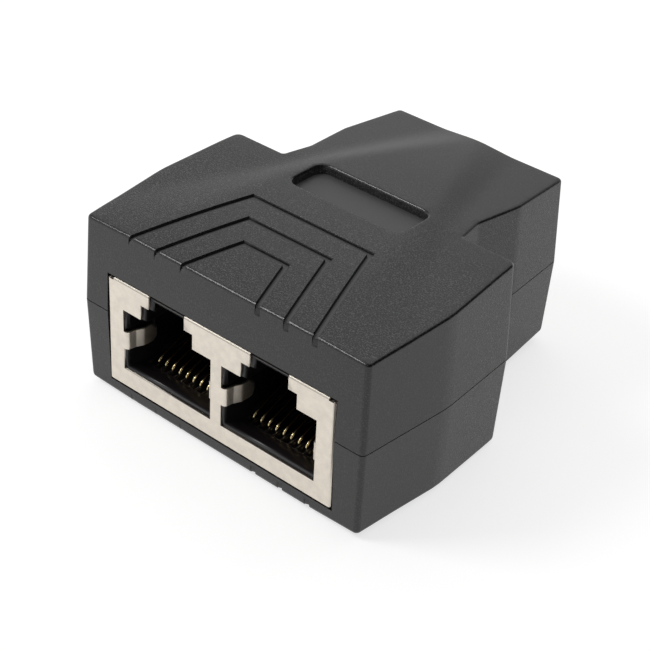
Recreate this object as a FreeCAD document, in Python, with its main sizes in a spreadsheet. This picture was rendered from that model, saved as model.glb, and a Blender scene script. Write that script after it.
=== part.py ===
import FreeCAD, Part
import math
import os
import Sketcher

# Splitter for modular plugs: two ports on a wide front block, one on a narrower rear block.
# Millimetres, +Z up, front towards -Y. The origin is under the middle of the housing.

SIZES = {
    # Plan of the housing at the seam, as half widths and distances behind the front face. The neck and
    # the tail's kink are placed behind the wide block.
    "depth": 41.9,
    "front_half": 18.95,
    "kink_half": 19.85,
    "kink_back": 11.7,
    "shoulder_half": 19.0,
    "wide_depth": 23.0,
    "waist_half": 12.3,
    "neck_half": 11.7,
    "neck_reach": 3.2,
    "tail_kink_half": 12.3,
    "tail_kink_reach": 9.6,
    "tail_half": 11.5,
    # Section of the housing. Heights of the two halves are measured from the seam.
    "seam_height": 10.5,
    "wall": 1.7,
    "draft_angle": 1.8,
    "corner_radius": 0.6,
    "waist_radius": 0.3,
    "bend_radius": 2.0,
    "edge_radius": 0.25,
    "seam_chamfer": 0.12,
    "top_crown": 11.8,
    "top_crown_radius": 172.0,
    "top_flank_front": 10.05,
    "top_flank_waist": 11.42,
    "top_flank_rear": 10.28,
    "bottom_crown": 10.75,
    "bottom_crown_radius": 227.0,
    "bottom_flank_front": 9.5,
    "bottom_flank_waist": 10.3,
    "bottom_flank_rear": 9.45,
    "crown_back": 21.3,
    # Raised panel: half width between its creases, and width of the slope beside each crease.
    "crease_front": 16.4,
    "crease_waist": 7.9,
    "crease_rear": 0.3,
    "slope_front": 3.5,
    "slope_waist": 1.8,
    "slope_rear": 4.2,
    # Nested grooves and the recess behind them.
    "groove_width": 0.65,
    "groove_depth": 0.2,
    "groove_lean": 0.31,
    "groove_front": 5.1,
    "groove_front_step": 3.62,
    "groove_back": 6.675,
    "groove_back_step": 3.35,
    "groove_drop": 0.75,
    "recess_half": 7.55,
    "recess_front": 18.0,
    "recess_back": 23.55,
    "recess_depth": 1.2,
    "recess_radius": 1.2,
    # Inside of the housing. The floor carries the jacks, and the ceiling clears the board.
    "floor_height": 2.15,
    "ceiling_height": 18.9,
    "lip_height": 1.2,
    "lip_thickness": 0.7,
    "lip_clearance": 0.1,
    "post_radius": 1.1,
    "post_half": 12.0,
    "post_back": 8.0,
    "post_tail_half": 6.0,
    "rib_height": 4.0,
    "rib_thickness": 1.2,
    "rib_length": 2.0,
    # Jacks: shield round an insulator. Port heights are measured from the seam.
    "port_pitch": 13.97,
    "shield_recess": 0.05,
    "shield_gap": 0.12,
    "shield_sheet": 0.25,
    "shield_height": 12.95,
    "shield_depth": 16.0,
    "front_shield_half": 15.43,
    "rear_shield_half": 8.1,
    "shield_notch": 0.85,
    "shield_notch_drop": 0.3,
    "fold_radius": 0.3,
    "port_half": 6.26,
    "step_half": 3.69,
    "latch_half": 2.53,
    "port_bottom": -6.09,
    "port_top": 1.25,
    "step_top": 3.0,
    "lip_inset": 0.38,
    "latch_wall": 0.42,
    "lip_chamfer": 0.35,
    "cavity_depth": 12.5,
    # Spring fingers beside each opening: how far in from its edge, and how far back, each stretch ends.
    "finger_height": 2.1,
    "finger_middle": -2.47,
    "finger_flat": 0.44,
    "finger_root_in": 0.6,
    "finger_root_back": 1.15,
    "finger_belly_in": 1.0,
    "finger_belly_back": 2.0,
    "finger_end_in": 1.05,
    "finger_reach": 3.7,
    "finger_bend": 0.3,
    "finger_belly_radius": 0.8,
    "finger_tip": 0.8,
    "finger_clearance": 0.25,
    # Contacts and their carriers.
    "contact_pitch": 1.016,
    "contact_width": 0.46,
    "contact_thickness": 0.3,
    "contact_low": -6.95,
    "contact_nose": 2.5,
    "contact_curl": 0.72,
    "contact_bend": 0.9,
    "contact_rise": 21.0,
    "contact_tip": 8.4,
    "contact_tail_gap": 0.35,
    "carrier_margin": 0.63,
    "carrier_front": 2.0,
    "carrier_base": 0.3,
    "slot_width": 0.6,
    "slot_front": 2.2,
    # Circuit board.
    "board_thickness": 1.6,
    "board_clearance": 0.3,
}

GROOVE_COUNT = 3
CONTACT_COUNT = 10
# Control net of the roof: spans along the housing, its degree, and its points across a slope and the
# panel, as shares of the slope's width and rise and of the panel's half width.
ROOF_SPANS = 8
ROOF_DEGREE = 3
SLOPE_NET = ((1.3, 0), (1, 0), (0.75, 0.25), (0.25, 0.75), (0, 1))
PANEL_NET = (0.7, 0.3)
# How far cutting tools run past a face, how upright and how level a face counts, and how near is equal.
OVERRUN = 1.0
UPRIGHT = 0.3
LEVEL = 0.8
NEAR = 0.001

FRONT = "(-sizes.depth / 2)"
REAR = "(sizes.depth / 2)"
SEAM = "sizes.seam_height"

doc = FreeCAD.newDocument("splitter")


def make_sheet():
    """Write every driving dimension to the sheet, each under its own name."""
    made = doc.addObject("Spreadsheet::Sheet", "sizes")
    for row, (name, number) in enumerate(SIZES.items(), start=1):
        made.set(f"A{row}", name)
        made.set(f"B{row}", str(number))
        made.setAlias(f"B{row}", name)
    doc.recompute()
    return made


sheet = make_sheet()


def value(expression):
    """Number that an expression on the sheet stands for."""
    return float(sheet.evalExpression(str(expression)))


def origin_plane(body, role):
    """One of a body's own origin planes."""
    return next(plane for plane in body.Origin.OriginFeatures if plane.Role == role)


def new_body(name):
    """Empty body in the document."""
    return doc.addObject("PartDesign::Body", name)


def outline(body, role, loops, offset="0"):
    """Sketch of closed polygons, each corner bound to a pair of expressions."""
    sketch = body.newObject("Sketcher::SketchObject", body.Name + "_outline")
    sketch.AttachmentSupport = [(origin_plane(body, role), "")]
    sketch.MapMode = "FlatFace"
    sketch.setExpression("AttachmentOffset.Base.z", offset)
    for loop in loops:
        first = sketch.GeometryCount
        count = len(loop)
        places = [FreeCAD.Vector(value(x), value(y), 0) for x, y in loop]
        for index in range(count):
            sketch.addGeometry(Part.LineSegment(places[index], places[(index + 1) % count]))
        for index, (x, y) in enumerate(loop):
            line = first + index
            following = first + (index + 1) % count
            sketch.addConstraint(Sketcher.Constraint("Coincident", line, 2, following, 1))
            for kind, expression in (("DistanceX", x), ("DistanceY", y)):
                constraint = Sketcher.Constraint(kind, line, 1, value(expression))
                number = sketch.addConstraint(constraint)
                sketch.setExpression(f"Constraints[{number}]", expression)
    return sketch


def pad(body, sketch, length, backwards=False, taper="0"):
    """Pad of a sketch along its normal, or against it."""
    made = body.newObject("PartDesign::Pad", body.Name + "_pad")
    made.Profile = sketch
    made.Reversed = backwards
    made.setExpression("Length", length)
    made.setExpression("TaperAngle", taper)
    doc.recompute()
    return made


def prism(name, role, loops, offset, length, backwards=False, taper="0"):
    """Body made of one pad."""
    body = new_body(name)
    pad(body, outline(body, role, loops, offset), length, backwards, taper)
    return body


def dressed(body, kind, edges, size, expression):
    """Fillet or chamfer on some edges of a body's last feature."""
    base = body.Tip
    made = body.newObject("PartDesign::" + kind, body.Name + "_" + kind.lower())
    made.Base = (base, edges)
    made.setExpression(size, expression)
    doc.recompute()
    return made


def boolean(kind, name, base, tool):
    """Cut, fuse or common of two document objects."""
    made = doc.addObject("Part::" + kind, name)
    made.Base = base
    made.Tool = tool
    doc.recompute()
    return made


def merged(name, pieces):
    """Fuse of several document objects."""
    made = doc.addObject("Part::MultiFuse", name)
    made.Shapes = pieces
    doc.recompute()
    return made


def shifted(name, source, height):
    """Copy of an object moved up by an expression."""
    made = doc.addObject("Part::Compound", name)
    made.Links = [source]
    made.setExpression("Placement.Base.z", height)
    doc.recompute()
    return made


def box(name, corner, size):
    """Box from its lowest corner and its size, six expressions."""
    made = doc.addObject("Part::Box", name)
    for axis, place in zip("xyz", corner):
        made.setExpression("Placement.Base." + axis, place)
    for side, extent in zip(("Length", "Width", "Height"), size):
        made.setExpression(side, extent)
    doc.recompute()
    return made


def rectangle(x_low, x_high, y_low, y_high):
    """Corners of a rectangle."""
    return [(x_low, y_low), (x_high, y_low), (x_high, y_high), (x_low, y_high)]


def behind(distance):
    """Y of a place behind the front face."""
    return f"{FRONT} + {distance}"


def mirrored_loop(half):
    """Closed outline from the corners of its +X half, front to rear."""
    return half + [(f"-({x})", y) for x, y in reversed(half)]


def plan_half(inset="0"):
    """Corners of the housing's plan on its +X side, moved in by an inset."""
    return [
        (f"sizes.front_half - {inset}", f"{FRONT} + {inset}"),
        (f"sizes.kink_half - {inset}", behind("sizes.kink_back")),
        (f"sizes.shoulder_half - {inset}", behind(f"sizes.wide_depth - {inset}")),
        (f"sizes.waist_half - {inset}", behind(f"sizes.wide_depth - {inset}")),
        (f"sizes.neck_half - {inset}", behind("sizes.wide_depth + sizes.neck_reach")),
        (f"sizes.tail_kink_half - {inset}", behind("sizes.wide_depth + sizes.tail_kink_reach")),
        (f"sizes.tail_half - {inset}", f"{REAR} - {inset}"),
    ]


def side_edges(shape, corners):
    """Names of the upright edges that start at the given plan corners on the seam."""
    seam = value(SEAM)
    names = []
    for x, y in corners:
        for side in (1, -1):
            corner = FreeCAD.Vector(side * value(x), value(y), seam)
            for number, edge in enumerate(shape.Edges, start=1):
                near = min(point.Point.distanceToPoint(corner) for point in edge.Vertexes)
                if near < NEAR and edge.BoundBox.ZLength > OVERRUN:
                    names.append(f"Edge{number}")
    return names


def seam_edges(shape):
    """Names of the edges that lie in the seam plane."""
    seam = value(SEAM)
    names = []
    for number, edge in enumerate(shape.Edges, start=1):
        if edge.BoundBox.ZLength < NEAR and abs(edge.BoundBox.ZMin - seam) < NEAR:
            names.append(f"Edge{number}")
    return names


def housing_form(half, up):
    """Drafted prism of the plan on one side of the seam, with rounded upright edges."""
    height = f"sizes.{half}_crown + {OVERRUN}"
    body = prism(half + "_form", "XY_Plane", [mirrored_loop(plan_half())], SEAM, height,
                 not up, "-sizes.draft_angle")
    corners = plan_half()
    sharp = [corners[0], corners[2], corners[6]]
    bends = [corners[1], corners[4], corners[5]]
    for places, radius in ((sharp, "corner"), (bends, "bend"), ([corners[3]], "waist")):
        names = side_edges(body.Shape, places)
        dressed(body, "Fillet", names, "Radius", f"sizes.{radius}_radius")
    dressed(body, "Chamfer", seam_edges(body.Shape), "Size", "sizes.seam_chamfer")
    return body


def along_housing(name, back):
    """Value of a size given at the front, the waist and the rear, at a distance behind the front."""
    front, waist, rear = (value(f"sizes.{name}_{place}") for place in ("front", "waist", "rear"))
    length = value("sizes.wide_depth")
    if back < length:
        return front + (waist - front) * back / length
    return waist + (rear - waist) * (back - length) / (value("sizes.depth") - length)


def roof_row(half, back):
    """Control points across the roof: level flanks, soft slopes and the crowned panel between."""
    crease = along_housing("crease", back)
    slope = along_housing("slope", back)
    flank = along_housing(half + "_flank", back)
    fall = (back - value("sizes.crown_back")) ** 2 / (2 * value(f"sizes.{half}_crown_radius"))
    rise = value(f"sizes.{half}_crown") - fall - flank
    side = value("sizes.kink_half") + 5 * OVERRUN
    right = [(side, flank), ((side + crease + slope) / 2, flank)]
    right += [(crease + slope * out, flank + rise * up) for out, up in SLOPE_NET]
    right += [(crease * share, flank + rise) for share in PANEL_NET]
    return right + [(-x, height) for x, height in reversed(right)]


def roof_solid(half, sign):
    """Everything under one smooth roof patch, from which the housing's form keeps its own part."""
    depth = value("sizes.depth")
    seam = value(SEAM)
    net = []
    for index in range(-1, ROOF_SPANS + 2):
        back = depth * index / ROOF_SPANS
        y = value(FRONT) + back
        net.append([FreeCAD.Vector(x, y, seam + sign * height) for x, height in roof_row(half, back)])
    patch = Part.BSplineSurface()
    sizes = [len(net), len(net[0])]
    knots = [list(range(count - ROOF_DEGREE + 1)) for count in sizes]
    counts = [[ROOF_DEGREE + 1] + [1] * (len(row) - 2) + [ROOF_DEGREE + 1] for row in knots]
    patch.buildFromPolesMultsKnots(net, counts[0], counts[1], knots[0], knots[1], False, False,
                                   ROOF_DEGREE, ROOF_DEGREE)
    made = doc.addObject("Part::Feature", half + "_roof")
    made.Shape = patch.toShape().extrude(FreeCAD.Vector(0, 0, -2 * sign * value(f"sizes.{half}_crown")))
    return made


def rim_edges(shape):
    """Edges where a roof face meets an upright face, as numbers in the shape's list."""
    found = []
    for number, edge in enumerate(shape.Edges, start=1):
        faces = shape.ancestorsOfType(edge, Part.Face)
        steep = sorted(abs(face.normalAt(*face.Surface.parameter(edge.CenterOfMass)).z) for face in faces)
        at_roof = abs(edge.CenterOfMass.z - value(SEAM)) > OVERRUN
        if at_roof and len(steep) == 2 and steep[0] < UPRIGHT and steep[1] > LEVEL:
            found.append(number)
    return found


def housing_half(half, sign):
    """Outer form of one half of the housing, with its rim rounded."""
    whole = boolean("Common", half + "_outer", housing_form(half, sign > 0), roof_solid(half, sign))
    rounded = doc.addObject("Part::Fillet", half + "_rounded")
    rounded.Base = whole
    radius = value("sizes.edge_radius")
    rounded.Edges = [(number, radius, radius) for number in rim_edges(whole.Shape)]
    doc.recompute()
    return rounded


def groove_loops():
    """Outlines of the nested grooves: a back stretch across and two legs that splay to the front."""
    loops = []
    spread = "(sizes.groove_width / 2 * sqrt(1 + sizes.groove_lean^2))"
    for index in range(GROOVE_COUNT):
        reach = f"(sizes.groove_back + {index} * sizes.groove_back_step)"
        foot = f"(sizes.groove_front + {index} * sizes.groove_front_step)"
        half = []
        for side in ("+", "-"):
            back = f"({reach} {side} sizes.groove_width / 2)"
            start = f"({foot} + sizes.groove_lean * {OVERRUN} {side} {spread})"
            corner = f"({foot} - sizes.groove_lean * {back} {side} {spread})"
            half.append([(start, behind(f"-{OVERRUN}")), (corner, behind(back))])
        outer, inner = half
        right = outer
        left = [(f"-{x}", y) for x, y in reversed(outer)]
        inner_left = [(f"-{x}", y) for x, y in inner]
        inner_right = list(reversed(inner))
        loops.append(right + left + inner_left + inner_right)
    return loops


def groove_ends(sign, front_height):
    """Short notches where the grooves turn down over the front edge."""
    loops = []
    for index in range(GROOVE_COUNT):
        foot = f"(sizes.groove_front + {index} * sizes.groove_front_step)"
        for side in (1, -1):
            low = f"({side} * {foot} - sizes.groove_width / 2)"
            high = f"({side} * {foot} + sizes.groove_width / 2)"
            level = f"({SEAM} + {sign} * ({front_height} - sizes.groove_drop))"
            far = f"({SEAM} + {sign} * ({front_height} + {OVERRUN}))"
            loops.append(rectangle(low, high, level, far))
    return loops


def groove_fade(sign, front_height):
    """Side view of what the groove ends take: as deep as the grooves at the edge, and running out below."""
    lean = "tan(sizes.draft_angle)"
    foot = f"({front_height} - sizes.groove_drop)"
    near = f"{FRONT} - {OVERRUN}"
    deep = f"{FRONT} + {front_height} * {lean} + sizes.groove_depth"
    places = [(near, foot), (f"{FRONT} + {foot} * {lean}", foot), (deep, front_height),
              (deep, f"({front_height} + {OVERRUN})"), (near, f"({front_height} + {OVERRUN})")]
    return [(y, f"{SEAM} + {sign} * {height}") for y, height in places]


def groove_tool(half, sign):
    """Everything that the grooves take away from one half of the housing."""
    far = f"(sizes.{half}_crown + {OVERRUN})"
    strips = prism(half + "_groove_strips", "XY_Plane", groove_loops(), SEAM, far, sign < 0)
    kept = shifted(half + "_groove_floor", doc.getObject(half + "_roof"), f"-{sign} * sizes.groove_depth")
    cut = boolean("Cut", half + "_grooves", strips, kept)
    front_height = f"(sizes.{half}_crown - sizes.crown_back^2 / (2 * sizes.{half}_crown_radius))"
    lean = f"{front_height} * tan(sizes.draft_angle)"
    ends = prism(half + "_groove_ends", "XZ_Plane", groove_ends(sign, front_height),
                 f"-({FRONT} - {OVERRUN})", f"{OVERRUN} + {lean} + sizes.groove_depth", True)
    fade = prism(half + "_groove_fade", "YZ_Plane", [groove_fade(sign, front_height)],
                 "-sizes.kink_half", "2 * sizes.kink_half")
    return merged(half + "_groove_tool", [cut, boolean("Common", half + "_groove_feet", ends, fade)])


def recess_tool():
    """Rounded shallow recess that follows the crown of the panel."""
    loop = rectangle("-sizes.recess_half", "sizes.recess_half", behind("sizes.recess_front"),
                     behind("sizes.recess_back"))
    body = prism("recess_block", "XY_Plane", [loop], SEAM, f"sizes.top_crown + {OVERRUN}")
    upright = []
    for number, edge in enumerate(body.Shape.Edges, start=1):
        if edge.BoundBox.ZLength > OVERRUN:
            upright.append(f"Edge{number}")
    dressed(body, "Fillet", upright, "Radius", "sizes.recess_radius")
    kept = shifted("recess_floor", doc.getObject("top_roof"), "-sizes.recess_depth")
    return boolean("Cut", "recess_tool", body, kept)


def window(name, half_width, turned):
    """Way through the end wall for a jack, as wide and tall as its shield and a gap."""
    reach = "(sizes.wall + sizes.lip_clearance + 2 * sizes.lip_thickness)"
    y = f"{REAR} - {reach}" if turned else f"{FRONT} - {OVERRUN}"
    wide = f"({half_width} + sizes.shield_gap)"
    return box(name, (f"-{wide}", y, "sizes.floor_height - sizes.shield_gap"),
               (f"2 * {wide}", f"{reach} + {OVERRUN}", "sizes.shield_height + 2 * sizes.shield_gap"))


def cavity(half, level, height):
    """Inside of one half of the housing."""
    return prism(half + "_cavity", "XY_Plane", [mirrored_loop(plan_half("sizes.wall"))], level, height)


def windows(half):
    """Both end windows of one half of the housing."""
    return [
        window(half + "_front_window", "sizes.front_shield_half", False),
        window(half + "_rear_window", "sizes.rear_shield_half", True),
    ]


def post(name, x, y):
    """Post under the ceiling that holds the board down."""
    made = doc.addObject("Part::Cylinder", name)
    made.setExpression("Radius", "sizes.post_radius")
    board_top = f"({shield_top()} + sizes.board_thickness)"
    made.setExpression("Height", f"sizes.ceiling_height + {OVERRUN} / 2 - {board_top}")
    for axis, place in zip("xyz", (x, y, board_top)):
        made.setExpression("Placement.Base." + axis, place)
    doc.recompute()
    return made


def top_shell():
    """Upper half of the housing, hollow, with posts that reach down to the board."""
    outer = housing_half("top", 1)
    inside = cavity("top", f"{SEAM} - {OVERRUN}", f"sizes.ceiling_height - {SEAM} + {OVERRUN}")
    tools = [groove_tool("top", 1), recess_tool(), inside] + windows("top")
    hollow = boolean("Cut", "top_hollow", outer, merged("top_tools", tools))
    posts = []
    for side in (1, -1):
        front_y, rear_y = behind("sizes.post_back"), f"{REAR} - sizes.post_back"
        posts.append(post(f"front_post_{len(posts)}", f"{side} * sizes.post_half", front_y))
        posts.append(post(f"rear_post_{len(posts)}", f"{side} * sizes.post_tail_half", rear_y))
    return merged("top_shell", [hollow] + posts)


def seam_lip():
    """Ring inside the seam that locates the two halves, rooted in the lower wall."""
    inner = "(sizes.wall + sizes.lip_clearance + sizes.lip_thickness)"
    bottom = f"{SEAM} - sizes.lip_height"
    outer = "(sizes.wall + sizes.lip_clearance)"
    upper = prism("lip_upper", "XY_Plane", [mirrored_loop(plan_half(outer))], bottom, "2 * sizes.lip_height")
    root = prism("lip_root", "XY_Plane", [mirrored_loop(plan_half("(sizes.wall / 2)"))],
                 bottom, "sizes.lip_height - sizes.seam_chamfer")
    core = prism("lip_core", "XY_Plane", [mirrored_loop(plan_half(inner))],
                 f"{bottom} - {OVERRUN}", f"2 * sizes.lip_height + 2 * {OVERRUN}")
    return boolean("Cut", "seam_lip", merged("lip_blank", [upper, root]), core)


def stop_ribs():
    """Ribs on the floor that stop each jack from sliding in."""
    ribs = []
    for half_width, turned in (("sizes.front_shield_half", False), ("sizes.rear_shield_half", True)):
        near = "(sizes.shield_recess + sizes.shield_depth)"
        y = f"{REAR} - {near} - sizes.rib_thickness" if turned else behind(near)
        for side in (1, -1):
            x = f"{side} * ({half_width} - sizes.rib_length / 2) - sizes.rib_length / 2"
            ribs.append(box(f"rib_{len(ribs)}", (x, y, f"sizes.floor_height - {OVERRUN} / 2"),
                            ("sizes.rib_length", "sizes.rib_thickness",
                             f"sizes.rib_height + {OVERRUN} / 2")))
    return ribs


def bottom_shell():
    """Lower half of the housing, hollow, flat underneath, with the locating lip and stop ribs."""
    outer = housing_half("bottom", -1)
    inside = cavity("bottom", "sizes.floor_height", f"{SEAM} - sizes.floor_height + {OVERRUN}")
    wide = f"(sizes.kink_half + {OVERRUN} * 5)"
    ground = box("ground", (f"-{wide}", f"-{wide} - sizes.depth / 2", f"-2 * {OVERRUN}"),
                 (f"2 * {wide}", f"2 * {wide} + sizes.depth", f"2 * {OVERRUN}"))
    shelled = boolean("Cut", "bottom_hollow", outer,
                      merged("bottom_tools", [groove_tool("bottom", -1), inside, ground]))
    lipped = merged("bottom_lipped", [shelled, seam_lip()] + stop_ribs())
    return boolean("Cut", "bottom_shell", lipped, merged("bottom_windows", windows("bottom")))


def stepped_port(centre, inset, latch_top):
    """Outline of a port: wide plug opening, step and latch slot, moved in by an inset."""
    half = [
        (f"sizes.port_half - {inset}", f"{SEAM} + sizes.port_bottom + {inset}"),
        (f"sizes.port_half - {inset}", f"{SEAM} + sizes.port_top - {inset}"),
        (f"sizes.step_half - {inset}", f"{SEAM} + sizes.port_top - {inset}"),
        (f"sizes.step_half - {inset}", f"{SEAM} + sizes.step_top - {inset}"),
        (f"sizes.latch_half - {inset}", f"{SEAM} + sizes.step_top - {inset}"),
        (f"sizes.latch_half - {inset}", latch_top),
    ]
    return [(f"({centre}) + {x}", y) for x, y in half] + [
        (f"({centre}) - ({x})", y) for x, y in reversed(half)]


def rounded_path(points, radii):
    """Wire of straight runs joined by tangent arcs."""
    edges = []
    start = points[0]
    for before, corner, after, radius in zip(points, points[1:], points[2:], radii):
        back = (before - corner).normalize()
        ahead = (after - corner).normalize()
        half_turn = back.getAngle(ahead) / 2
        reach = radius / math.tan(half_turn)
        inward = (back + ahead).normalize()
        middle = corner + inward * (radius / math.sin(half_turn) - radius)
        edges.append(Part.LineSegment(start, corner + back * reach).toShape())
        edges.append(Part.Arc(corner + back * reach, middle, corner + ahead * reach).toShape())
        start = corner + ahead * reach
    edges.append(Part.LineSegment(start, points[-1]).toShape())
    return Part.Wire(edges)


def formed_strip(points, radii, width, thickness, side):
    """Strip of one section along straight runs and tangent arcs, its width along `side`."""
    along = (points[1] - points[0]).normalize()
    across = along.cross(side)
    corners = []
    for a, b in ((-1, -1), (1, -1), (1, 1), (-1, 1), (-1, -1)):
        corners.append(points[0] + side * (a * width / 2) + across * (b * thickness / 2))
    sweep = Part.BRepOffsetAPI.MakePipeShell(rounded_path(points, radii))
    sweep.setBiNormalMode(side)
    sweep.add(Part.makePolygon(corners))
    sweep.build()
    sweep.makeSolid()
    return sweep.shape()


def finger(name, centre, side):
    """Spring finger bent back from one side of a port's opening, with a belly that leans inwards."""
    sheet_middle = value(f"{shield_face()} + sizes.shield_sheet / 2")
    height = value(f"{SEAM} + sizes.finger_middle")
    edge = value("sizes.port_half")
    bend = value("sizes.finger_bend")
    belly = value("sizes.finger_belly_radius")
    places = [
        (edge + bend + value("sizes.shield_sheet"), sheet_middle),
        (edge - value("sizes.finger_flat"), sheet_middle),
        (edge - value("sizes.finger_root_in"), value(behind("sizes.finger_root_back"))),
        (edge - value("sizes.finger_belly_in"), value(behind("sizes.finger_belly_back"))),
        (edge - value("sizes.finger_end_in"), value(behind("sizes.finger_reach"))),
    ]
    points = [FreeCAD.Vector(value(centre) + side * x, y, height) for x, y in places]
    strip = formed_strip(points, [bend, belly, belly], value("sizes.finger_height"),
                         value("sizes.shield_sheet"), FreeCAD.Vector(0, 0, 1))
    corners = []
    for edge in strip.Edges:
        short = edge.Length < value("sizes.shield_sheet") + NEAR
        if short and edge.CenterOfMass.distanceToPoint(points[-1]) < value("sizes.finger_height"):
            corners.append(edge)
    made = doc.addObject("Part::Feature", name)
    made.Shape = strip.makeFillet(value("sizes.finger_tip"), corners)
    return made


def shield_top():
    """Height of the outside of a shield's top."""
    return "(sizes.floor_height + sizes.shield_height)"


def shield_face():
    """Y of the outside of a shield's face."""
    return f"({FRONT} + sizes.shield_recess)"


def jack_front():
    """Y of the insulator's front, on the back of the shield's face."""
    return f"({FRONT} + sizes.shield_recess + sizes.shield_sheet)"


def jack_rear():
    """Y of the open rear of a jack."""
    return behind("(sizes.shield_recess + sizes.shield_depth)")


def sheet_inside(half_width):
    """Outline of the room inside a shield, which the insulator fills."""
    wide = f"({half_width} - sizes.shield_sheet)"
    return rectangle(f"-{wide}", wide, "sizes.floor_height + sizes.shield_sheet",
                     f"{shield_top()} - sizes.shield_sheet")


def shield_wrap(prefix, half_width):
    """Outside of a shield as a block, with its folds rounded."""
    outer = rectangle(f"-{half_width}", half_width, "sizes.floor_height", shield_top())
    body = prism(prefix + "_wrap", "XZ_Plane", [outer], f"-{shield_face()}", "sizes.shield_depth", True)
    folds = []
    for number, edge in enumerate(body.Shape.Edges, start=1):
        on_face = abs(edge.CenterOfMass.y - value(shield_face())) < NEAR
        if on_face or edge.BoundBox.YLength > OVERRUN:
            folds.append(f"Edge{number}")
    dressed(body, "Fillet", folds, "Radius", "sizes.fold_radius")
    return body


def shield_openings(prefix, centres, half_width):
    """Ports, open at the top fold, and corner notches that are punched through a shield's face."""
    low = f"{shield_top()} - sizes.shield_notch_drop"
    high = f"{shield_top()} + {OVERRUN}"
    loops = [stepped_port(centre, "0", high) for centre in centres]
    inner = f"({half_width} - sizes.shield_notch)"
    outer = f"({half_width} + {OVERRUN})"
    loops.append(rectangle(inner, outer, low, high))
    loops.append(rectangle(f"-{outer}", f"-{inner}", low, high))
    return prism(prefix + "_openings", "XZ_Plane", loops, f"-({shield_face()} - {OVERRUN})",
                 f"{OVERRUN} + 2 * sizes.fold_radius", True)


def shield(prefix, centres, half_width):
    """Folded sheet round a jack: face with its openings, four sides, and the spring fingers."""
    body = shield_wrap(prefix, half_width)
    inside = prism(prefix + "_wrap_inside", "XZ_Plane", [sheet_inside(half_width)], f"-{jack_front()}",
                   f"sizes.shield_depth + {OVERRUN}", True)
    openings = shield_openings(prefix, centres, half_width)
    bare = boolean("Cut", prefix + "_sheet", body, merged(prefix + "_sheet_tools", [inside, openings]))
    fingers = []
    for centre in centres:
        for side in (1, -1):
            fingers.append(finger(f"{prefix}_finger_{len(fingers)}", centre, side))
    return merged(prefix + "_shield", [bare] + fingers)


def carrier_half():
    """Half width of a contact carrier."""
    return f"({CONTACT_COUNT - 1} / 2 * sizes.contact_pitch + sizes.carrier_margin)"


def floor_level():
    """Height of the cavity's floor."""
    return f"({SEAM} + sizes.port_bottom + sizes.lip_inset)"


def wire_level():
    """Height of the underside of the wires, where they run back under the floor."""
    return f"({SEAM} + sizes.contact_low - sizes.contact_thickness / 2)"


def carrier_bottom():
    """Height of a carrier's underside."""
    return f"({wire_level()} - sizes.carrier_base)"


def insulator(prefix, centres, half_width):
    """Block with a stepped cavity for each port, its mouth chamfered."""
    body = prism(prefix + "_insulator", "XZ_Plane", [sheet_inside(half_width)], f"-{jack_front()}",
                 "sizes.shield_depth - sizes.shield_sheet", True)
    latch_top = f"{shield_top()} - sizes.shield_sheet - sizes.latch_wall"
    loops = [stepped_port(centre, "sizes.lip_inset", latch_top) for centre in centres]
    pocket = body.newObject("PartDesign::Pocket", prefix + "_cavities")
    pocket.Profile = outline(body, "XZ_Plane", loops, f"-{jack_front()}")
    pocket.setExpression("Length", "sizes.cavity_depth")
    doc.recompute()
    dressed(body, "Chamfer", mouth_edges(body.Shape), "Size", "sizes.lip_chamfer")
    return body


def mouth_edges(shape):
    """Names of the edges round the cavities on an insulator's front."""
    outer = shape.BoundBox
    names = []
    for number, edge in enumerate(shape.Edges, start=1):
        middle = edge.CenterOfMass
        on_front = edge.BoundBox.YMax < outer.YMin + NEAR
        inside_x = outer.XMin + NEAR < middle.x < outer.XMax - NEAR
        inside_z = outer.ZMin + NEAR < middle.z < outer.ZMax - NEAR
        if on_front and inside_x and inside_z:
            names.append(f"Edge{number}")
    return names


def finger_way(name, centre):
    """Room beside a port's mouth for its two spring fingers."""
    low = f"({SEAM} + sizes.finger_middle - sizes.finger_height / 2 - sizes.finger_clearance)"
    reach = "(sizes.port_half + sizes.finger_clearance)"
    return box(name, (f"({centre}) - {reach}", FRONT, low),
               (f"2 * {reach}", "sizes.finger_reach + 2 * sizes.finger_clearance",
                "sizes.finger_height + 2 * sizes.finger_clearance"))


def carrier_block(name, centre, length):
    """Block under a port's floor, from the carrier's front."""
    return box(name, (f"({centre}) - {carrier_half()}", behind("sizes.carrier_front"), carrier_bottom()),
               (f"2 * {carrier_half()}", length, f"{floor_level()} - {carrier_bottom()}"))


def jack_body(prefix, centres, half_width):
    """Insulator with room for the spring fingers and a channel for each contact carrier."""
    tools = []
    for number, centre in enumerate(centres):
        tools.append(finger_way(f"{prefix}_finger_way_{number}", centre))
        tools.append(carrier_block(f"{prefix}_carrier_way_{number}", centre, "sizes.shield_depth"))
    body = insulator(prefix, centres, half_width)
    return boolean("Cut", prefix + "_jack_body", body, merged(prefix + "_body_tools", tools))


def contact_places():
    """X of each contact from the middle of its port."""
    return [f"({index - (CONTACT_COUNT - 1) / 2} * sizes.contact_pitch)" for index in range(CONTACT_COUNT)]


def carrier(name, centre):
    """Comb that holds a port's contacts, one slot for each, open above."""
    block = carrier_block(name + "_block", centre,
                          "sizes.shield_recess + sizes.shield_depth - sizes.carrier_front")
    loops = []
    for place in contact_places():
        low = f"({centre}) + {place} - sizes.slot_width / 2"
        loops.append(rectangle(low, f"{low} + sizes.slot_width", behind("sizes.slot_front"),
                               f"{jack_rear()} + {OVERRUN}"))
    slots = prism(name + "_slots", "XY_Plane", loops, wire_level(), "sizes.shield_height")
    return boolean("Cut", name, block, slots)


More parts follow.
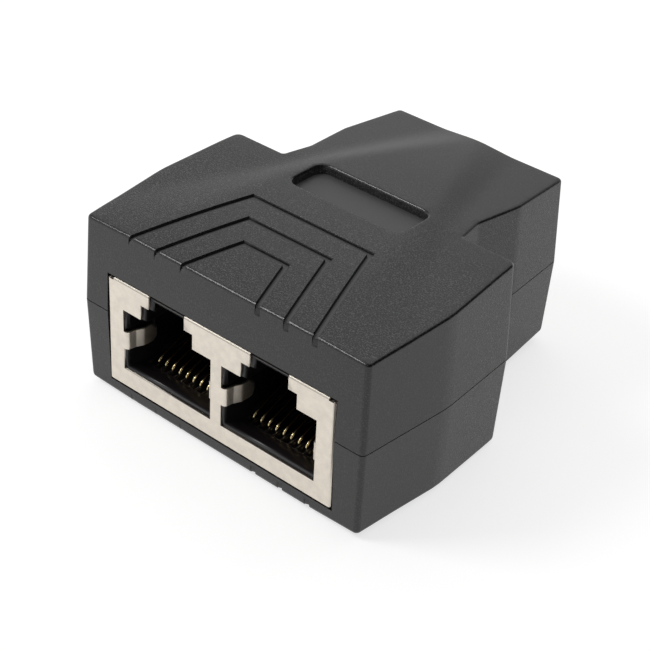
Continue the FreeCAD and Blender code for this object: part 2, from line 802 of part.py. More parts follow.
def contact(name, centre, place):
    """Formed wire: down from the board, forward under the floor, round the nose and up into the port."""
    x = value(f"({centre}) + {place}")
    low = value(f"{SEAM} + sizes.contact_low")
    board = value(shield_top())
    tail = value(f"{jack_rear()} + sizes.contact_tail_gap")
    rise = math.radians(value("sizes.contact_rise"))
    curl = value("sizes.contact_curl")
    turn = value(behind("sizes.contact_nose")) + curl - curl / math.tan(rise / 2)
    tip = value(behind("sizes.contact_tip"))
    places = [(tail, board), (tail, low), (turn, low), (tip, low + (tip - turn) * math.tan(rise))]
    points = [FreeCAD.Vector(x, y, z) for y, z in places]
    made = doc.addObject("Part::Feature", name)
    made.Shape = formed_strip(points, [value("sizes.contact_bend"), curl], value("sizes.contact_width"),
                              value("sizes.contact_thickness"), FreeCAD.Vector(1, 0, 0))
    return made


def circuit_board():
    """Board over the three jacks, cut to the T of the housing's inside."""
    inset = "(sizes.wall + sizes.lip_clearance + sizes.lip_thickness + sizes.board_clearance)"
    return prism("circuit_board", "XY_Plane", [mirrored_loop(plan_half(inset))], shield_top(),
                 "sizes.board_thickness")


def jack(prefix, ports, half_width, turned):
    """All pieces of one jack. The rear jack is the front one's kind, turned about."""
    centres = list(ports.values())
    pieces = [shield(prefix, centres, half_width), jack_body(prefix, centres, half_width)]
    for port, centre in ports.items():
        pieces.append(carrier(port + "_contact_carrier", centre))
        for number, place in enumerate(contact_places(), start=1):
            pieces.append(contact(f"{port}_contact_{number:02d}", centre, place))
    if turned:
        half_turn = FreeCAD.Rotation(FreeCAD.Vector(0, 0, 1), 180)
        for piece in pieces:
            piece.Placement = FreeCAD.Placement(FreeCAD.Vector(), half_turn)
    return pieces


def build():
    """Every piece of the splitter."""
    front_ports = {"left": "-sizes.port_pitch / 2", "right": "sizes.port_pitch / 2"}
    pieces = [top_shell(), bottom_shell(), circuit_board()]
    pieces += jack("front", front_ports, "sizes.front_shield_half", False)
    pieces += jack("rear", {"rear": "0"}, "sizes.rear_shield_half", True)
    for piece in pieces:
        piece.Label = piece.Name
    doc.recompute()
    return pieces


def check(pieces):
    """Stop if any feature failed or any piece isn't one sound solid."""
    for item in doc.Objects:
        if "Invalid" in item.State or "Error" in item.State:
            raise RuntimeError(f"{item.Label} failed: {item.getStatusString()}")
    for piece in pieces:
        if piece.Shape.isNull() or not piece.Shape.isValid() or len(piece.Shape.Solids) != 1:
            raise RuntimeError(f"{piece.Label} isn't one valid solid")


def export(pieces):
    """One file for each piece, named for it."""
    os.makedirs("parts", exist_ok=True)
    for piece in pieces:
        piece.Shape.exportStep(f"parts/{piece.Label}.step")


made_pieces = build()
check(made_pieces)
export(made_pieces)
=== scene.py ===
"""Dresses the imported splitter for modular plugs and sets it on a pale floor."""

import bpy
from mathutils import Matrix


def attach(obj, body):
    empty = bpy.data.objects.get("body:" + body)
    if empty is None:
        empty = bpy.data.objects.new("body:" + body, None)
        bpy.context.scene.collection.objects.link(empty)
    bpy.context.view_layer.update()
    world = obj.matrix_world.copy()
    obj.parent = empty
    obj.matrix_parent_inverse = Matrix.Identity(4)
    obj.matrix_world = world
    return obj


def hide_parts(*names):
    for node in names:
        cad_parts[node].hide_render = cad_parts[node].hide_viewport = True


bl_info = {
    "name": "Plug splitter",
    "version": (1, 0, 0),
    "blender": (4, 5, 0),
    "location": "View3D > Sidebar > Splitter",
    "description": "Builds the housing, shields, insulators and wires of a splitter for modular plugs",
    "category": "Object",
}

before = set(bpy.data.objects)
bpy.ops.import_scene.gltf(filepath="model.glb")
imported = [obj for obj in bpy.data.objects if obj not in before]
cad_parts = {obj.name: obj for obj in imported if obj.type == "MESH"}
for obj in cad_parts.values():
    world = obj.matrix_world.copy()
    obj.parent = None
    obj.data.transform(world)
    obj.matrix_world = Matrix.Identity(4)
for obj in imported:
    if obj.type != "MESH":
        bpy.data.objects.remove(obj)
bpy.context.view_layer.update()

import math
from collections import namedtuple

import bmesh
import bpy
from bpy.props import FloatProperty, FloatVectorProperty, PointerProperty
from mathutils import Matrix, Vector

# Shapes are worked out in millimetres in the frame's axes, and brought to metres as a piece is finished.
MM = 0.001
# How near counts as the same place, and how far a cutting tool runs past what it cuts.
NEAR = 0.01
OVERRUN = 1.0

FRONT = -20.95
REAR = 20.95
DEPTH = REAR - FRONT
SEAM = 10.5
WAIST_BACK = 23.0
CROWN_BACK = 21.3

# Right half of the housing's plan at the seam: x, distance behind the front, rounding of the corner.
PLAN = (
    (19.07, 0.0, 0.6),
    (19.95, 11.7, 12.0),
    (19.12, WAIST_BACK, 0.9),
    (12.42, WAIST_BACK, 0.3),
    (11.82, 26.2, 2.0),
    (12.42, 32.6, 5.0),
    (11.64, DEPTH, 0.6),
)

# The two halves, measured from the seam: height before the roof is curved, ceiling inside, reach of the
# jacks' windows, crown of the roof with its radii before and behind the top, and the roof's flanks at the
# front, waist and rear. The rim and the grooves are shares of the settings.
Half = namedtuple("Half", "flat ceiling window crown radius_before radius_behind flanks rim groove")
HALVES = {
    "top": Half(flat=11.0, ceiling=8.4, window=4.72, crown=11.8, radius_before=140.0, radius_behind=172.0,
                flanks=(10.05, 11.5, 10.3), rim=1.0, groove=1.0),
    "bottom": Half(flat=10.1, ceiling=8.35, window=8.62, crown=10.75, radius_before=380.0,
                   radius_behind=227.0, flanks=(9.9, 10.45, 9.4), rim=1.6, groove=0.6),
}
WINDOW_DEPTH = 3.0
FRONT_WINDOW_HALF = 15.55
REAR_WINDOW_HALF = 8.22

# Half width of the raised panel and width of the slope beside it, at the front, waist and rear. A slope
# laps over the panel and the flank and is rounded at its foot and top, by shares of its width.
PANEL_HALF = (12.5, 7.9, 0.3)
PANEL_SLOPE = (9.0, 1.8, 4.2)
SLOPE_LAP = 0.1
SLOPE_ROUND = 0.18
# Distance over which the change of direction at the waist is softened.
WAIST_SOFTNESS = 3.0
# The roof is cut into cells down to this depth and as far out as these reaches in X and Y. It bends from just
# above the ceiling, fully so a little higher.
CELL_DEPTH = 2.2
CELL_REACH = (20.0, 21.0)
BEND_START = 0.1
BEND_RANGE = 0.8

# Nested grooves: distance of the legs from the middle at the front and of the stretches across from the
# front, each for the inner groove with the step to the next, then the legs' splay and the middle itself.
GROOVE_COUNT = 3
GROOVE_FOOT = (5.1, 3.62)
GROOVE_REACH = (6.675, 3.35)
GROOVE_LEAN = 0.335
GROOVE_MIDDLE = 0.05
# Section of a groove: broken upper edge, narrowing to the floor, and the tool's flare above the roof.
GROOVE_BROKEN = 0.03
GROOVE_TAPER = 0.05
GROOVE_FLARE = 0.2
# Ends of the grooves on the front face: how far down they reach, how far the tool laps into the groove, and
# places on the way down, as a share of the depth behind the face and a drop below the groove's floor.
RUNOUT_DROP = 1.15
RUNOUT_LAP = 0.25
RUNOUT_LIFT = 0.001
RUNOUT_PLACES = ((0.2, 0.3), (0.55, 0.1))

# Recess: middle, half width, distances of its front and back, corner radius, narrowing to the floor, and the
# rounding of its lip as shares of the lip, each an inset and a drop.
RECESS_MIDDLE = 0.1
RECESS_HALF = 7.45
RECESS_FRONT = 18.1
RECESS_BACK = 23.45
RECESS_CORNER = 1.2
RECESS_TAPER = 0.03
RECESS_FLARE = (0.2, 0.02)
LIP_STEPS = ((0.3, 0.05), (0.4, 0.25), (0.3, 0.7))
# Faces of the recess and the grooves that look up by this much, and lie deeper than this share of a groove,
# are floors.
FLOOR_FACING = 0.8
FLOOR_DEPTH = 0.7

# Middle of each port and the way that it faces along Y, and its wires: their number, pitch and shift off
# the middle.
PORTS = {"left": (-6.985, -1), "right": (6.985, -1), "rear": (0.0, 1)}
WIRE_COUNT = 10
WIRE_PITCH = 1.016
WIRE_SHIFT = {"left": 0.3, "right": 0.0, "rear": 0.0}
# Path of a wire: nose and tail behind the port's face, heights of the run under the floor and of the end at
# the board, radii of the nose and the bend, and length and rise of the tongue.
WIRE_NOSE, WIRE_TAIL = 3.15, 16.4
WIRE_LOW, WIRE_END = 3.75, 15.1
WIRE_CURL, WIRE_BEND = 0.72, 0.9
WIRE_TONGUE, WIRE_RISE = 5.6, math.radians(21)

# Where a port's right-hand finger lies, from the port's middle and in height, and how far it springs back.
FINGER_WIDTHS = (5.0, 6.2)
FINGER_HEIGHTS = (6.9, 9.2)
FINGER_SPRING = 0.2
# Underside of the bar over a latch slot, and how much lower the real bar reaches.
LATCH_BAR = 14.43
LATCH_BAR_DROP = 0.18

# Triangles of a CAD node that lie this near are joined, and edges sharper than this angle stay sharp.
JOIN_DISTANCE = 0.002
SHARP_ANGLE = math.radians(40)

# Stage, in metres and watts. Each lamp has its place, the side of its square and its power.
FLOOR_HALF = 1.5
AIM = (0, 0, 0.011)
LAMPS = {
    "over_lamp": ((-0.08, 0.18, 0.4), 0.5, 0.52),
    "left_lamp": ((-0.32, 0.32, 0.16), 0.25, 0.06),
    "front_lamp": ((-0.23, -0.21, 0.33), 0.14, 0.6),
}
# Camera as fitted to the photograph: its place, its right-hand side, the way it looks, lens and shift.
CAMERA_PLACE = (0.09578, -0.12044, 0.11001)
CAMERA_RIGHT = (0.7499, 0.6601, 0.0450)
CAMERA_FORWARD = (-0.5292, 0.6392, -0.5581)
CAMERA_LENS = 95.36
CAMERA_SENSOR = 36
CAMERA_SHIFT = (0.0028, -0.0057)


def linear(code):
    """Linear colour of an sRGB hex code."""
    values = [int(code[place:place + 2], 16) / 255 for place in (1, 3, 5)]
    return [v / 12.92 if v <= 0.04045 else ((v + 0.055) / 1.055) ** 2.4 for v in values]


def colour(name, description, code):
    """Colour setting with its default."""
    return FloatVectorProperty(name=name, description=description, subtype="COLOR", size=3, min=0, max=1,
                               default=linear(code))


def length(name, description, millimetres):
    """Length setting, which Blender keeps in metres."""
    return FloatProperty(name=name, description=description, default=millimetres * MM, min=0, precision=5,
                         unit="LENGTH")


class SplitterColours(bpy.types.PropertyGroup):
    """Colours of the splitter's materials and of the floor."""

    housing: colour("Housing", "Black ABS of the two housing halves", "#181818")
    # The field colour is painted paler than the housing: painted light that lifts the shade falling into the
    # recess and the grooves.
    field: colour("Field", "Blasted floor of the recess and the grooves", "#4A4A4A")
    nickel: colour("Nickel", "Dull nickel plate of the shields", "#DED6CA")
    insulator: colour("Insulator", "Black PBT of the jacks and contact carriers", "#181416")
    gold: colour("Gold", "Gold plate of the contact wires", "#EDD9A6")
    # Painted shade: the wires further into the dark port are painted this brown instead of gold.
    painted_wire_shade: colour("Tarnish", "Contact wires where no plug rubs them", "#5A432A")
    mask: colour("Solder mask", "Green solder mask of the circuit board", "#1C5A35")
    floor: colour("Floor", "Pale floor under the splitter", "#FFFFFF")


class SplitterSizes(bpy.types.PropertyGroup):
    """Sizes that shape the pieces made here."""

    draft: FloatProperty(name="Draft", description="Lean of the housing's sides",
                         default=math.radians(1.8), subtype="ANGLE")
    rim: length("Rim radius", "Rounding between a roof and the sides", 0.34)
    seam_chamfer: length("Seam chamfer", "Broken edge along the seam", 0.1)
    wall: length("Wall", "Thickness of the housing's walls", 1.7)
    cell: length("Roof cell", "Spacing of the cuts that let a roof curve", 0.9)
    groove_width: length("Groove width", "Width of the three nested grooves", 0.65)
    groove_depth: length("Groove depth", "Depth of the three nested grooves", 0.32)
    recess_depth: length("Recess depth", "Depth of the long recess in the panel", 1.05)
    recess_lip: length("Recess lip", "Rounding round the recess", 0.32)
    wire: length("Contact wire", "Diameter of the contact wires", 0.32)


def size(name):
    """Length setting in millimetres."""
    return getattr(bpy.context.scene.splitter_sizes, name) / MM


def draft_slope():
    """How far the housing's sides lean in for each millimetre of height."""
    return math.tan(bpy.context.scene.splitter_sizes.draft)


def tint(name, share=1.0):
    """Colour setting with full alpha, made darker or paler by a share."""
    rgb = getattr(bpy.context.scene.splitter_colours, name)
    return (*(min(c * share, 1.0) for c in rgb), 1.0)


def add(tree, kind, inputs=None, **settings):
    """Add a node with its settings, set or link its inputs by name or number, and return it."""
    node = tree.nodes.new(kind)
    for name, given in settings.items():
        setattr(node, name, given)
    for name, given in (inputs or {}).items():
        socket = node.inputs[name]
        if isinstance(given, bpy.types.NodeSocket):
            tree.links.new(given, socket)
        else:
            socket.default_value = given
    return node


def new_material(name):
    """Material with an empty node tree."""
    made = bpy.data.materials.new(name)
    made.use_nodes = True
    made.node_tree.nodes.clear()
    return made, made.node_tree


def grained_abs():
    """Black ABS moulded in a spark-eroded tool: pebbles with a painted sparkle on the roofs, plainer on the
    sides.
    """
    made, tree = new_material("moulded_abs_spark_grain")
    place = add(tree, "ShaderNodeTexCoord").outputs["Object"]
    # Pebbles of a spark finish are under 0.1 mm; drawn at 0.13 mm so that they show.
    pebbles = add(tree, "ShaderNodeTexNoise", {"Vector": place, "Scale": 1 / (0.13 * MM), "Detail": 1.0,
                                               "Roughness": 0.5}).outputs["Fac"]
    normal = add(tree, "ShaderNodeNewGeometry").outputs["Normal"]
    facing = add(tree, "ShaderNodeSeparateXYZ", {"Vector": normal}).outputs["Z"]
    level = add(tree, "ShaderNodeMath", {0: facing}, operation="ABSOLUTE").outputs[0]
    rear = add(tree, "ShaderNodeSeparateXYZ", {"Vector": place}).outputs["Y"]
    # The roofs are grained, and their pebble tips painted bright, most towards the front, and the sides most
    # towards the rear.
    on_roofs = add(tree, "ShaderNodeMapRange", {
        "Value": rear, "From Min": -6 * MM, "From Max": 8 * MM, "To Min": 1.0, "To Max": 0.25})
    on_sides = add(tree, "ShaderNodeMapRange", {
        "Value": rear, "From Min": -12 * MM, "From Max": -4 * MM, "To Min": 0.4, "To Max": 1.1})
    # The rounded edges between them are rubbed smoother and shine more, and get less of the painted sparkle.
    edge_grain = add(tree, "ShaderNodeMapRange", {
        "Value": level, "From Min": 0.93, "From Max": 0.98, "To Min": 0.3,
        "To Max": on_roofs.outputs["Result"]})
    grain_and_sparkle = add(tree, "ShaderNodeMapRange", {
        "Value": level, "From Min": 0.15, "From Max": 0.3, "To Min": on_sides.outputs["Result"],
        "To Max": edge_grain.outputs["Result"]}).outputs["Result"]
    edge_gloss = add(tree, "ShaderNodeMapRange", {
        "Value": level, "From Min": 0.9, "From Max": 0.97, "To Min": 0.25, "To Max": 0.42})
    gloss = add(tree, "ShaderNodeMapRange", {
        "Value": level, "From Min": 0.2, "From Max": 0.4, "To Min": 0.42,
        "To Max": edge_gloss.outputs["Result"]})
    # The tips of the pebbles are painted up to eleven times paler than the plastic between them: a painted
    # sparkle that stands in for the light they catch.
    tips = add(tree, "ShaderNodeMapRange", {"Value": pebbles, "From Min": 0.5, "From Max": 0.72})
    painted_sparkle = add(tree, "ShaderNodeMath", {0: tips.outputs["Result"], 1: grain_and_sparkle}, operation="MULTIPLY")
    tone = add(tree, "ShaderNodeMix", {0: painted_sparkle.outputs[0], 6: tint("housing", 0.6),
                                       7: tint("housing", 11)}, data_type="RGBA")
    bump = add(tree, "ShaderNodeBump", {"Height": pebbles, "Strength": grain_and_sparkle, "Distance": 0.05 * MM})
    skin = add(tree, "ShaderNodeBsdfPrincipled", {
        "Base Color": tone.outputs[2], "Roughness": gloss.outputs["Result"], "IOR": 1.54,
        "Normal": bump.outputs["Normal"]})
    add(tree, "ShaderNodeOutputMaterial", {"Surface": skin.outputs["BSDF"]})
    return made


def blasted_abs_painted_paler():
    """Black ABS moulded against a finely blasted field: even, with no pebbles, and painted paler to lift the
    shade that falls in the recess and the grooves.
    """
    made, tree = new_material("moulded_abs_blasted_field")
    place = add(tree, "ShaderNodeTexCoord").outputs["Object"]
    # Blasted pits are some hundredths of a millimetre; drawn at 0.15 mm so that they show.
    pits = add(tree, "ShaderNodeTexNoise", {"Vector": place, "Scale": 1 / (0.15 * MM),
                                            "Detail": 2.0}).outputs["Fac"]
    gloss = add(tree, "ShaderNodeMapRange", {"Value": pits, "To Min": 0.45, "To Max": 0.55})
    bump = add(tree, "ShaderNodeBump", {"Height": pits, "Strength": 0.2, "Distance": 0.02 * MM})
    skin = add(tree, "ShaderNodeBsdfPrincipled", {
        "Base Color": tint("field"), "Roughness": gloss.outputs["Result"], "IOR": 1.54,
        "Normal": bump.outputs["Normal"]})
    add(tree, "ShaderNodeOutputMaterial", {"Surface": skin.outputs["BSDF"]})
    return made


def plated_nickel():
    """Dull nickel plate on rolled bronze sheet: warm, soft reflections with handling and rolling marks."""
    made, tree = new_material("rolled_sheet_dull_nickel")
    place = add(tree, "ShaderNodeTexCoord").outputs["Object"]
    # Rolling lines are some hundredths of a millimetre apart; drawn at 0.3 mm so that they show.
    stretch = add(tree, "ShaderNodeMapping", {"Vector": place, "Scale": (0.08, 1, 1)})
    lines = add(tree, "ShaderNodeTexNoise", {"Vector": stretch.outputs["Vector"], "Scale": 1 / (0.3 * MM),
                                             "Detail": 3.0}).outputs["Fac"]
    # Marks of handling are about a millimetre across.
    marks = add(tree, "ShaderNodeTexNoise", {"Vector": place, "Scale": 1 / (0.9 * MM), "Detail": 4.0,
                                             "Roughness": 0.65}).outputs["Fac"]
    worn = add(tree, "ShaderNodeMapRange", {"Value": marks, "From Min": 0.35, "From Max": 0.65})
    plate = add(tree, "ShaderNodeMix", {0: worn.outputs["Result"], 6: tint("nickel", 0.93),
                                        7: tint("nickel", 1.05)}, data_type="RGBA")
    # Faces that look up, such as the bend along the top, are painted darker: painted shade that dims the
    # highlight on the bend.
    normal = add(tree, "ShaderNodeNewGeometry").outputs["Normal"]
    facing = add(tree, "ShaderNodeSeparateXYZ", {"Vector": normal}).outputs["Z"]
    painted_shade_mask = add(tree, "ShaderNodeMapRange", {"Value": facing, "From Min": 0.1, "From Max": 0.3})
    tone = add(tree, "ShaderNodeMix", {0: painted_shade_mask.outputs["Result"], 6: plate.outputs[2],
                                       7: tint("nickel", 0.7)}, data_type="RGBA")
    gloss = add(tree, "ShaderNodeMapRange", {"Value": lines, "To Min": 0.4, "To Max": 0.52})
    bump = add(tree, "ShaderNodeBump", {"Height": lines, "Strength": 0.1, "Distance": 0.02 * MM})
    skin = add(tree, "ShaderNodeBsdfPrincipled", {
        "Base Color": tone.outputs[2], "Metallic": 1.0, "Roughness": gloss.outputs["Result"],
        "Normal": bump.outputs["Normal"]})
    add(tree, "ShaderNodeOutputMaterial", {"Surface": skin.outputs["BSDF"]})
    return made


def moulded_pbt():
    """Black PBT moulded in a polished tool: nearly black, a soft shine on its lips."""
    made, tree = new_material("moulded_pbt_satin")
    place = add(tree, "ShaderNodeTexCoord").outputs["Object"]
    # Flow marks of the moulding are about a millimetre across.
    flow = add(tree, "ShaderNodeTexNoise", {"Vector": place, "Scale": 1 / (1.2 * MM),
                                            "Detail": 3.0}).outputs["Fac"]
    gloss = add(tree, "ShaderNodeMapRange", {"Value": flow, "To Min": 0.3, "To Max": 0.38})
    bump = add(tree, "ShaderNodeBump", {"Height": flow, "Strength": 0.1, "Distance": 0.03 * MM})
    skin = add(tree, "ShaderNodeBsdfPrincipled", {
        "Base Color": tint("insulator"), "Roughness": gloss.outputs["Result"], "IOR": 1.55,
        "Normal": bump.outputs["Normal"]})
    add(tree, "ShaderNodeOutputMaterial", {"Surface": skin.outputs["BSDF"]})
    return made


def plated_gold():
    """Gold plate on drawn bronze wire: bright on the nose that plugs rub; further in painted a dull brown, a
    painted shade for the dark inside of the port.
    """
    made, tree = new_material("drawn_wire_gold_plate")
    place = add(tree, "ShaderNodeTexCoord").outputs["Object"]
    # Marks of drawing and wear are about as wide as the wire.
    marks = add(tree, "ShaderNodeTexNoise", {"Vector": place, "Scale": 1 / (0.4 * MM),
                                             "Detail": 2.0}).outputs["Fac"]
    gloss = add(tree, "ShaderNodeMapRange", {"Value": marks, "To Min": 0.18, "To Max": 0.3})
    along_y = add(tree, "ShaderNodeSeparateXYZ", {"Vector": place}).outputs["Y"]
    outward = add(tree, "ShaderNodeMath", {0: along_y}, operation="ABSOLUTE").outputs[0]
    # Painted shade: from the nose inwards the wires fade from gold to the painted dull brown.
    painted_shade_mask = add(tree, "ShaderNodeMapRange", {"Value": outward, "From Min": 17.1 * MM,
                                              "From Max": 17.55 * MM})
    tone = add(tree, "ShaderNodeMix", {0: painted_shade_mask.outputs["Result"], 6: tint("painted_wire_shade"), 7: tint("gold")},
               data_type="RGBA")
    skin = add(tree, "ShaderNodeBsdfPrincipled", {"Base Color": tone.outputs[2], "Metallic": 1.0,
                                                  "Roughness": gloss.outputs["Result"]})
    add(tree, "ShaderNodeOutputMaterial", {"Surface": skin.outputs["BSDF"]})
    return made


def solder_masked():
    """Glass laminate under green solder mask: glossy, with the weave faintly showing through."""
    made, tree = new_material("glass_laminate_solder_mask")
    place = add(tree, "ShaderNodeTexCoord").outputs["Object"]
    # Yarns of the glass cloth lie about 0.5 mm apart.
    weave = add(tree, "ShaderNodeTexChecker", {"Vector": place, "Scale": 1 / (0.5 * MM),
                                               "Color1": tint("mask"), "Color2": tint("mask", 0.85)})
    skin = add(tree, "ShaderNodeBsdfPrincipled", {"Base Color": weave.outputs["Color"], "Roughness": 0.25,
                                                  "IOR": 1.5})
    add(tree, "ShaderNodeOutputMaterial", {"Surface": skin.outputs["BSDF"]})
    return made


FINISHES = {"housing": grained_abs, "field": blasted_abs_painted_paler, "shield": plated_nickel,
            "insulator": moulded_pbt, "contact": plated_gold, "board": solder_masked}


def finish_of(slot):
    """Material of a slot, made once."""
    made = bpy.context.scene.get("splitter_" + slot)
    if made is None:
        made = FINISHES[slot]()
        bpy.context.scene["splitter_" + slot] = made
    return made


def outlined(bm, points, z):
    """Flat face through a few points, facing up."""
    face = bm.faces.new([bm.verts.new((x, y, z)) for x, y in points])
    face.normal_update()
    if face.normal.z < 0:
        face.normal_flip()
    return face


def corner_reach(vert, edges, radius):
    """Length that rounding a corner takes from each of its two edges."""
    before, after = (edge.other_vert(vert).co - vert.co for edge in edges)
    turn = math.pi - before.angle(after)
    return radius * math.tan(turn / 2)


def rounded(bm, face, radius):
    """Round all corners of a flat face by a radius; returns the face."""
    for vert in list(face.verts):
        reach = corner_reach(vert, vert.link_edges, radius)
        bmesh.ops.bevel(bm, geom=[vert], offset=reach, offset_type="OFFSET", segments=6, profile=0.5,
                        affect="VERTICES", material=-1)
    return max(bm.faces, key=lambda f: f.calc_area())


def stepped(bm, face, steps):
    """Inset a face in steps, moving it along its normal each time."""
    for inset, rise in steps:
        bmesh.ops.inset_region(bm, faces=[face], thickness=inset, depth=rise, use_even_offset=True,
                               use_boundary=True)


def closed(bm):
    """Fill what is open and turn all faces outwards."""
    bmesh.ops.holes_fill(bm, edges=[e for e in bm.edges if e.is_boundary], sides=0)
    bmesh.ops.recalc_face_normals(bm, faces=bm.faces)


def new_object(bm, name):
    """Object in the scene from a mesh, which is then used up."""
    mesh = bpy.data.meshes.new(name)
    bm.to_mesh(mesh)
    bm.free()
    made = bpy.data.objects.new(name, mesh)
    bpy.context.scene.collection.objects.link(made)
    return made


def cut(bm, tool):
    """Take a cutting tool away from a mesh."""
    target = new_object(bm, "being_cut")
    helper = new_object(tool, "cutting_tool")
    step = target.modifiers.new("cut", "BOOLEAN")
    step.operation = "DIFFERENCE"
    step.solver = "EXACT"
    step.object = helper
    graph = bpy.context.evaluated_depsgraph_get()
    mesh = bpy.data.meshes.new_from_object(target.evaluated_get(graph))
    if not mesh.polygons:
        raise RuntimeError("A cut left nothing of the housing")
    result = bmesh.new()
    result.from_mesh(mesh)
    bpy.data.meshes.remove(mesh)
    for used in (target, helper):
        spent = used.data
        bpy.data.objects.remove(used)
        bpy.data.meshes.remove(spent)
    return result


def piece(name, bm, slot, nodes):
    """Finished object from a mesh in millimetres, standing for CAD nodes."""
    bmesh.ops.scale(bm, vec=(MM, MM, MM), verts=bm.verts)
    made = new_object(bm, name)
    mesh = made.data
    mesh.shade_smooth()
    mesh.set_sharp_from_angle(angle=SHARP_ANGLE)
    mesh.materials.append(finish_of(slot))
    weighted = made.modifiers.new("even_normals", "WEIGHTED_NORMAL")
    weighted.keep_sharp = True
    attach(made, "root")
    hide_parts(*nodes)
    return made


def mirrored(points):
    """Closed outline from its right half."""
    return list(points) + [(-x, y) for x, y in reversed(points)]


def plan_face(bm, inset, z):
    """Housing's plan with sharp corners, moved in by an inset."""
    half = []
    for x, back, _ in PLAN:
        step = inset if back == 0 else -inset if back in (WAIST_BACK, DEPTH) else 0
        half.append((x - inset, FRONT + back + step))
    return outlined(bm, mirrored(half), z)


def round_uprights(bm):
    """Round the upright edges of the housing's form, each by its corner's own radius."""
    for x, back, radius in PLAN:
        for side in (1, -1):
            corner = Vector((side * x, FRONT + back, 0))
            vert = min(bm.verts, key=lambda v: (v.co - corner).length)
            level = [e for e in vert.link_edges if abs(e.other_vert(vert).co.z) < NEAR]
            upright = [e for e in vert.link_edges if e not in level]
            bmesh.ops.bevel(bm, geom=upright, offset=corner_reach(vert, level, radius),
                            offset_type="OFFSET", segments=6, profile=0.5, affect="EDGES", material=-1)


def drafted_form(form):
    """Plan of the housing drawn up to a flat roof, with rounded upright edges and a rounded rim."""
    bm = bmesh.new()
    stepped(bm, plan_face(bm, 0, 0), [(form.flat * draft_slope(), form.flat)])
    closed(bm)
    round_uprights(bm)
    rim = [e for e in bm.edges if all(v.co.z > form.flat - NEAR for v in e.verts)]
    bmesh.ops.bevel(bm, geom=rim, offset=size("rim") * form.rim, offset_type="OFFSET", segments=4,
                    profile=0.5, affect="EDGES", material=-1)
    return bm


def break_seam(bm):
    """Chamfer the edge that lies on the seam, so that the seam shows as a fine line."""
    foot = [e for e in bm.edges if all(abs(v.co.z) < NEAR for v in e.verts)]
    bmesh.ops.bevel(bm, geom=foot, offset=size("seam_chamfer"), offset_type="OFFSET", segments=1,
                    profile=0.5, affect="EDGES", material=-1)


def along(values, back):
    """Value between its front, waist and rear ones, softened round the waist."""
    def straight(at):
        if at < WAIST_BACK:
            return values[0] + (values[1] - values[0]) * at / WAIST_BACK
        return values[1] + (values[2] - values[1]) * (at - WAIST_BACK) / (DEPTH - WAIST_BACK)
    before, behind = straight(back - WAIST_SOFTNESS), straight(back + WAIST_SOFTNESS)
    return before / 4 + straight(back) / 2 + behind / 4


def ramp(share):
    """Straight rise from 0 to 1 with a rounded foot and top."""
    share = min(max(share, 0), 1)
    near = min(share, 1 - share)
    rise = near * near / (2 * SLOPE_ROUND) if near < SLOPE_ROUND else near - SLOPE_ROUND / 2
    rise /= 1 - SLOPE_ROUND
    return rise if share < 0.5 else 1 - rise


def roof_height(half, x, y):
    """Height of a roof above the seam: level flanks, slopes and the crowned panel between them."""
    form = HALVES[half]
    back = y - FRONT
    flank = along(form.flanks, back)
    slope = along(PANEL_SLOPE, back)
    radius = form.radius_behind if back > CROWN_BACK else form.radius_before
    ridge = form.crown - (back - CROWN_BACK) ** 2 / (2 * radius)
    foot = along(PANEL_HALF, back) + (1 + SLOPE_LAP) * slope
    height = flank + (ridge - flank) * ramp((foot - abs(x)) / ((1 + 2 * SLOPE_LAP) * slope))
    # The underside is flat where it would bulge below the plane that it lies on.
    return min(height, SEAM) if half == "bottom" else height


def cavity_tool(form):
    """Hollow of one half of the housing, up to a level ceiling."""
    bm = bmesh.new()
    face = plan_face(bm, size("wall"), -OVERRUN)
    stepped(bm, face, [(0, form.ceiling + OVERRUN)])
    closed(bm)
    return bm


def window_tool(form, half_width, outer, inner):
    """Way for a jack's shield through an end wall, from outside the wall to inside it."""
    bm = bmesh.new()
    low, high = sorted((outer, inner))
    face = outlined(bm, mirrored([(half_width, low), (half_width, high)]), -OVERRUN)
    stepped(bm, face, [(0, form.window + OVERRUN)])
    closed(bm)
    return bm


def groove_foot(index):
    """Distance of a groove's legs from the middle of the grooves, at the front."""
    return GROOVE_FOOT[0] + GROOVE_FOOT[1] * index


def groove_tool(index, flat, depth):
    """One groove: a stretch across and two legs that splay to the front, with a broken upper edge."""
    bm = bmesh.new()
    half_width = size("groove_width") / 2 + GROOVE_FLARE
    loops = []
    for side in (1, -1):
        spread = half_width * math.hypot(1, GROOVE_LEAN) * side
        back = GROOVE_REACH[0] + GROOVE_REACH[1] * index + half_width * side
        loops.append(mirrored([
            (groove_foot(index) + GROOVE_LEAN * OVERRUN + spread, FRONT - OVERRUN),
            (groove_foot(index) - GROOVE_LEAN * back + spread, FRONT + back),
        ]))
    band = loops[0] + loops[1][::-1]
    face = outlined(bm, [(x + GROOVE_MIDDLE, y) for x, y in band], flat + GROOVE_FLARE - GROOVE_BROKEN)
    face.normal_flip()
    stepped(bm, face, [(GROOVE_FLARE, GROOVE_FLARE), (GROOVE_TAPER, depth - GROOVE_BROKEN)])
    closed(bm)
    return bm


